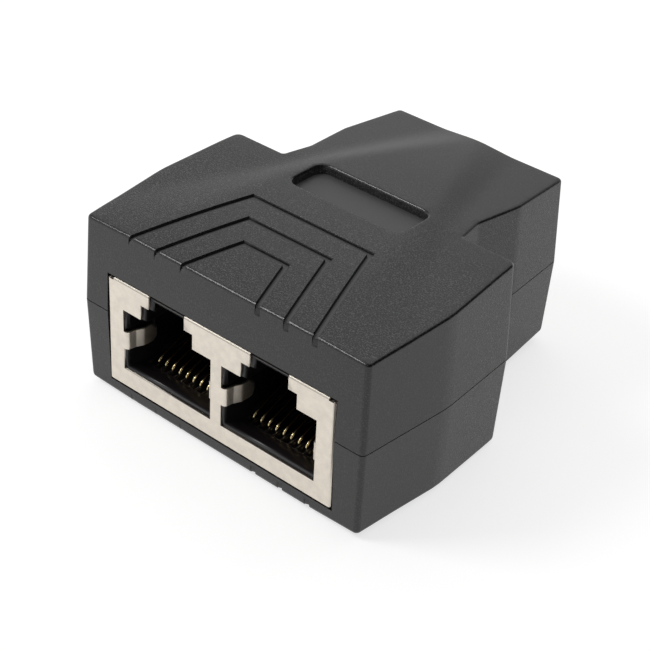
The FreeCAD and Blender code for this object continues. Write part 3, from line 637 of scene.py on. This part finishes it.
def groove_end_tools(flat, depth):
    """Ends of the grooves: they turn over the front edge and run out on the front face."""
    half_width = size("groove_width") / 2
    low = flat - RUNOUT_DROP
    edge = FRONT + flat * draft_slope()
    floor = flat - depth
    inner = edge + depth + RUNOUT_LAP
    side_view = [(FRONT - OVERRUN, low), (FRONT + low * draft_slope(), low)]
    side_view += [(edge + share * depth, floor - drop) for share, drop in RUNOUT_PLACES]
    side_view += [(inner, floor + RUNOUT_LIFT), (inner, flat + OVERRUN), (FRONT - OVERRUN, flat + OVERRUN)]
    tools = []
    for index in range(GROOVE_COUNT):
        for side in (1, -1):
            bm = bmesh.new()
            start = GROOVE_MIDDLE + side * groove_foot(index) - half_width * math.hypot(1, GROOVE_LEAN)
            face = bm.faces.new([bm.verts.new((start - side * GROOVE_LEAN * (y - FRONT), y, z))
                                 for y, z in side_view])
            face.normal_update()
            if face.normal.x < 0:
                face.normal_flip()
            stepped(bm, face, [(0, 2 * half_width)])
            closed(bm)
            tools.append(bm)
    return tools


def recess_tool(flat):
    """Long rounded recess with a soft lip."""
    bm = bmesh.new()
    lip = size("recess_lip")
    aside, above = RECESS_FLARE
    grow = lip + aside
    half_width = RECESS_HALF + grow
    low, high = FRONT + RECESS_FRONT - grow, FRONT + RECESS_BACK + grow
    corners = [(-half_width, low), (half_width, low), (half_width, high), (-half_width, high)]
    face = outlined(bm, [(x + RECESS_MIDDLE, y) for x, y in corners], flat + above)
    face = rounded(bm, face, RECESS_CORNER + grow)
    face.normal_flip()
    steps = [(aside, above)] + [(lip * inset, lip * drop) for inset, drop in LIP_STEPS]
    stepped(bm, face, steps + [(RECESS_TAPER, size("recess_depth") - lip)])
    closed(bm)
    return bm


def housing_tools(half):
    """Everything that is cut from one half of the housing, in the order of the cuts."""
    form = HALVES[half]
    depth = size("groove_depth") * form.groove
    tools = [groove_tool(index, form.flat, depth) for index in reversed(range(GROOVE_COUNT))]
    if half == "top":
        tools.append(recess_tool(form.flat))
    tools += groove_end_tools(form.flat, depth)
    tools.append(window_tool(form, FRONT_WINDOW_HALF, FRONT - OVERRUN, FRONT + WINDOW_DEPTH))
    tools.append(window_tool(form, REAR_WINDOW_HALF, REAR + OVERRUN, REAR - WINDOW_DEPTH))
    tools.append(cavity_tool(form))
    return tools


def roof_cells(bm, flat):
    """Cut the upper part of a half in both directions, so that it can bend."""
    for normal, reach in zip((Vector((1, 0, 0)), Vector((0, 1, 0))), CELL_REACH):
        count = int(2 * reach / size("cell")) + 1
        for index in range(count):
            at = normal * (-reach + 2 * reach * (index + 0.5) / count)
            upper = [f for f in bm.faces if f.calc_center_median().z > flat - CELL_DEPTH]
            verts = list({v for f in upper for v in f.verts})
            edges = list({e for f in upper for e in f.edges})
            bmesh.ops.bisect_plane(bm, geom=verts + edges + upper, dist=0.001, plane_co=at, plane_no=normal)


def bend_roof(bm, half):
    """Curve a flat roof to its own form, leaving what lies under the ceiling."""
    form = HALVES[half]
    roof_cells(bm, form.flat)
    for vert in bm.verts:
        share = min(max((vert.co.z - form.ceiling - BEND_START) / BEND_RANGE, 0), 1)
        vert.co.z += share * (roof_height(half, vert.co.x, vert.co.y) - form.flat)


def housing_half(half):
    """One half of the housing, made with its roof flat and upwards, then curved and put in its place."""
    bm = drafted_form(HALVES[half])
    if half == "top":
        break_seam(bm)
    for tool in housing_tools(half):
        bm = cut(bm, tool)
    bend_roof(bm, half)
    if half == "bottom":
        bmesh.ops.scale(bm, vec=(1, 1, -1), verts=bm.verts)
        bmesh.ops.reverse_faces(bm, faces=bm.faces)
    bmesh.ops.translate(bm, vec=(0, 0, SEAM), verts=bm.verts)
    return bm


def blast_and_lighten_floors(mesh):
    """Give the floors of the recess and the grooves their blasted finish, painted paler against the shade
    that falls in them.
    """
    mesh.materials.append(finish_of("field"))
    for face in mesh.polygons:
        x, y, z = face.center / MM
        depth = SEAM + roof_height("top", x, y) - z
        if face.normal.z > FLOOR_FACING and depth > FLOOR_DEPTH * size("groove_depth"):
            face.material_index = 1


class SPLITTER_OT_housing(bpy.types.Operator):
    """Moulds the two halves of the housing."""

    bl_idname = "splitter.housing"
    bl_label = "Housing halves"

    def execute(self, context):
        top = piece("housing_top", housing_half("top"), "housing", ["top_shell"])
        blast_and_lighten_floors(top.data)
        piece("housing_bottom", housing_half("bottom"), "housing", ["bottom_shell"])
        return {"FINISHED"}


def merged_copy(node):
    """Mesh of a CAD node in millimetres, with its triangles joined."""
    bm = bmesh.new()
    bm.from_mesh(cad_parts[node].data)
    bmesh.ops.scale(bm, vec=(1 / MM, 1 / MM, 1 / MM), verts=bm.verts)
    bmesh.ops.remove_doubles(bm, verts=bm.verts, dist=JOIN_DISTANCE)
    return bm


def relax_fingers(bm):
    """Let the finger on the right of each front port spring back towards the wall, as it has in use."""
    middles = [middle for middle, facing in PORTS.values() if facing < 0]
    fingers = [v for v in bm.verts for middle in middles
               if FINGER_WIDTHS[0] < v.co.x - middle < FINGER_WIDTHS[1]
               and FINGER_HEIGHTS[0] < v.co.z < FINGER_HEIGHTS[1]]
    bmesh.ops.translate(bm, vec=(FINGER_SPRING, 0, 0), verts=fingers)


class SPLITTER_OT_shields(bpy.types.Operator):
    """Folds the plated shields round the jacks."""

    bl_idname = "splitter.shields"
    bl_label = "Shields"

    def execute(self, context):
        for node in ("front_shield", "rear_shield"):
            bm = merged_copy(node)
            if node == "front_shield":
                relax_fingers(bm)
            piece(node + "_plate", bm, "shield", [node])
        return {"FINISHED"}


def lower_latch_bars(bm):
    """Thicken the bars over the latch slots, which reach lower than their walls need."""
    undersides = [v for v in bm.verts if abs(v.co.z - LATCH_BAR) < 2 * NEAR]
    bmesh.ops.translate(bm, vec=(0, 0, -LATCH_BAR_DROP), verts=undersides)


class SPLITTER_OT_insulators(bpy.types.Operator):
    """Moulds the jack bodies and the carriers of the contacts."""

    bl_idname = "splitter.insulators"
    bl_label = "Insulators"

    def execute(self, context):
        for node in ("front_jack_body", "rear_jack_body"):
            bm = merged_copy(node)
            lower_latch_bars(bm)
            piece(node + "_moulding", bm, "insulator", [node])
        for port in PORTS:
            node = port + "_contact_carrier"
            piece(node + "_moulding", merged_copy(node), "insulator", [node])
        return {"FINISHED"}


def bent(bm, ring, centre, turn, steps):
    """Carry a ring of edges round a bend in the upright plane of its wire."""
    made = bmesh.ops.spin(bm, geom=ring, cent=centre, axis=(-1, 0, 0), dvec=(0, 0, 0), angle=turn,
                          steps=steps, use_merge=False, use_duplicate=False)
    return [part for part in made["geom_last"] if isinstance(part, bmesh.types.BMEdge)]


def drawn(bm, ring, move):
    """Carry a ring of edges straight on."""
    made = bmesh.ops.extrude_edge_only(bm, edges=ring)["geom"]
    verts = [part for part in made if isinstance(part, bmesh.types.BMVert)]
    bmesh.ops.translate(bm, vec=move, verts=verts)
    return [part for part in made if isinstance(part, bmesh.types.BMEdge)]


def contact_wire(bm, x, facing):
    """Wire: down from the board, forward under the floor, round the nose and up into the port."""
    nose = WIRE_NOSE + WIRE_CURL
    start = set(bm.verts)
    made = bmesh.ops.create_circle(bm, cap_ends=False, segments=14, radius=size("wire") / 2,
                                   matrix=Matrix.Translation((x, WIRE_TAIL, WIRE_END)))
    ring = list({edge for vert in made["verts"] for edge in vert.link_edges})
    ring = drawn(bm, ring, (0, 0, WIRE_LOW + WIRE_BEND - WIRE_END))
    ring = bent(bm, ring, (x, WIRE_TAIL - WIRE_BEND, WIRE_LOW + WIRE_BEND), math.pi / 2, 8)
    ring = drawn(bm, ring, (0, nose - WIRE_TAIL + WIRE_BEND, 0))
    ring = bent(bm, ring, (x, nose, WIRE_LOW + WIRE_CURL), math.pi - WIRE_RISE, 12)
    drawn(bm, ring, (0, WIRE_TONGUE * math.cos(WIRE_RISE), WIRE_TONGUE * math.sin(WIRE_RISE)))
    verts = [vert for vert in bm.verts if vert not in start]
    if facing < 0:
        bmesh.ops.translate(bm, vec=(0, FRONT, 0), verts=verts)
    else:
        bmesh.ops.scale(bm, vec=(1, -1, 1), verts=verts)
        bmesh.ops.translate(bm, vec=(0, REAR, 0), verts=verts)


class SPLITTER_OT_contacts(bpy.types.Operator):
    """Bends the contact wires of the three ports."""

    bl_idname = "splitter.contacts"
    bl_label = "Contact wires"

    def execute(self, context):
        for port, (middle, facing) in PORTS.items():
            bm = bmesh.new()
            first = middle + WIRE_SHIFT[port] - (WIRE_COUNT - 1) / 2 * WIRE_PITCH
            for index in range(WIRE_COUNT):
                contact_wire(bm, first + index * WIRE_PITCH, facing)
            closed(bm)
            nodes = [f"{port}_contact_{index:02d}" for index in range(1, WIRE_COUNT + 1)]
            piece(port + "_wires", bm, "contact", nodes)
        return {"FINISHED"}


class SPLITTER_OT_board(bpy.types.Operator):
    """Finishes the circuit board that joins the jacks."""

    bl_idname = "splitter.board"
    bl_label = "Circuit board"

    def execute(self, context):
        piece("board_laminate", merged_copy("circuit_board"), "board", ["circuit_board"])
        return {"FINISHED"}


def seen_share(tree):
    """1 for the rays that carry the surroundings to the eye, straight or by way of a shiny surface."""
    path = add(tree, "ShaderNodeLightPath").outputs
    seen = add(tree, "ShaderNodeMath", {0: path["Is Camera Ray"], 1: path["Is Glossy Ray"]},
               operation="MAXIMUM").outputs[0]
    return add(tree, "ShaderNodeMath", {0: seen, 1: path["Is Transmission Ray"]},
               operation="MAXIMUM").outputs[0]


def pale_floor():
    """Matt white floor: lit by the lamps and lifted a little for the eye, so that only the shadow shows."""
    made, tree = new_material("matt_white_floor")
    matt = add(tree, "ShaderNodeBsdfDiffuse", {"Color": tint("floor", 0.55)})
    lift = add(tree, "ShaderNodeMath", {0: seen_share(tree), 1: 0.68}, operation="MULTIPLY")
    glow = add(tree, "ShaderNodeEmission", {"Color": tint("floor"), "Strength": lift.outputs[0]})
    both = add(tree, "ShaderNodeAddShader", {0: matt.outputs[0], 1: glow.outputs[0]})
    add(tree, "ShaderNodeOutputMaterial", {"Surface": both.outputs[0]})
    return made


def white_room():
    """Surroundings: white at the horizon to the eye, dim overhead and on the right; a level soft light."""
    made = bpy.data.worlds.new("white_room")
    made.use_nodes = True
    tree = made.node_tree
    tree.nodes.clear()
    toward = add(tree, "ShaderNodeTexCoord").outputs["Generated"]
    way = add(tree, "ShaderNodeSeparateXYZ", {"Vector": toward})
    overhead = add(tree, "ShaderNodeMapRange", {
        "Value": way.outputs["Z"], "From Min": 0.15, "From Max": 0.5, "To Min": 1.0, "To Max": 0.3})
    aside = add(tree, "ShaderNodeMapRange", {
        "Value": way.outputs["X"], "From Min": 0.2, "From Max": 0.45, "To Min": 1.0, "To Max": 0.05})
    seen = add(tree, "ShaderNodeMath", {0: overhead.outputs["Result"], 1: aside.outputs["Result"]},
               operation="MULTIPLY")
    level = add(tree, "ShaderNodeMix", {0: seen_share(tree), 2: 0.3, 3: seen.outputs[0]},
                data_type="FLOAT")
    room = add(tree, "ShaderNodeBackground", {"Color": (1, 1, 1, 1), "Strength": level.outputs[0]})
    add(tree, "ShaderNodeOutputWorld", {"Surface": room.outputs[0]})
    return made


def lamp(name, place, side, power):
    """Soft square lamp aimed at the splitter."""
    data = bpy.data.lights.new(name, "AREA")
    data.size = side
    data.energy = power
    made = bpy.data.objects.new(name, data)
    made.location = place
    made.visible_camera = False
    made.rotation_euler = (Vector(AIM) - Vector(place)).to_track_quat("-Z", "Y").to_euler()
    bpy.context.scene.collection.objects.link(made)


def fitted_camera():
    """Camera at the photograph's angle."""
    data = bpy.data.cameras.new("camera")
    data.lens = CAMERA_LENS
    data.sensor_width = CAMERA_SENSOR
    data.shift_x, data.shift_y = CAMERA_SHIFT
    data.clip_start = 0.01
    made = bpy.data.objects.new("camera", data)
    right, forward = Vector(CAMERA_RIGHT), Vector(CAMERA_FORWARD)
    made.rotation_euler = Matrix((right, right.cross(forward), -forward)).transposed().to_euler()
    made.location = CAMERA_PLACE
    bpy.context.scene.collection.objects.link(made)
    return made


class SPLITTER_OT_stage(bpy.types.Operator):
    """Sets the floor, the lamps and the camera."""

    bl_idname = "splitter.stage"
    bl_label = "Floor, lamps and camera"

    def execute(self, context):
        scene = context.scene
        bm = bmesh.new()
        bmesh.ops.create_grid(bm, x_segments=1, y_segments=1, size=FLOOR_HALF)
        floor = new_object(bm, "floor")
        floor.data.materials.append(pale_floor())
        scene.world = white_room()
        for name, (place, side, power) in LAMPS.items():
            lamp(name, place, side, power)
        scene.camera = fitted_camera()
        scene.view_settings.view_transform = "Standard"
        return {"FINISHED"}


class SPLITTER_PT_pieces(bpy.types.Panel):
    """Lists the splitter's pieces in the sidebar."""

    bl_idname = "SPLITTER_PT_pieces"
    bl_label = "Plug splitter"
    bl_space_type = "VIEW_3D"
    bl_region_type = "UI"
    bl_category = "Splitter"

    def draw(self, context):
        for made in PIECES:
            self.layout.operator(made.bl_idname)


PIECES = (SPLITTER_OT_housing, SPLITTER_OT_shields, SPLITTER_OT_insulators, SPLITTER_OT_contacts,
          SPLITTER_OT_board, SPLITTER_OT_stage)
CLASSES = (SplitterColours, SplitterSizes, *PIECES, SPLITTER_PT_pieces)


def register():
    """Make the settings, the operators and the panel known to Blender."""
    for made in CLASSES:
        bpy.utils.register_class(made)
    bpy.types.Scene.splitter_colours = PointerProperty(type=SplitterColours)
    bpy.types.Scene.splitter_sizes = PointerProperty(type=SplitterSizes)


def unregister():
    """Take back what register did."""
    del bpy.types.Scene.splitter_sizes
    del bpy.types.Scene.splitter_colours
    for made in reversed(CLASSES):
        bpy.utils.unregister_class(made)


def main():
    """Build every piece and the stage."""
    register()
    bpy.ops.splitter.housing()
    bpy.ops.splitter.shields()
    bpy.ops.splitter.insulators()
    bpy.ops.splitter.contacts()
    bpy.ops.splitter.board()
    bpy.ops.splitter.stage()


if __name__ == "__main__":
    main()
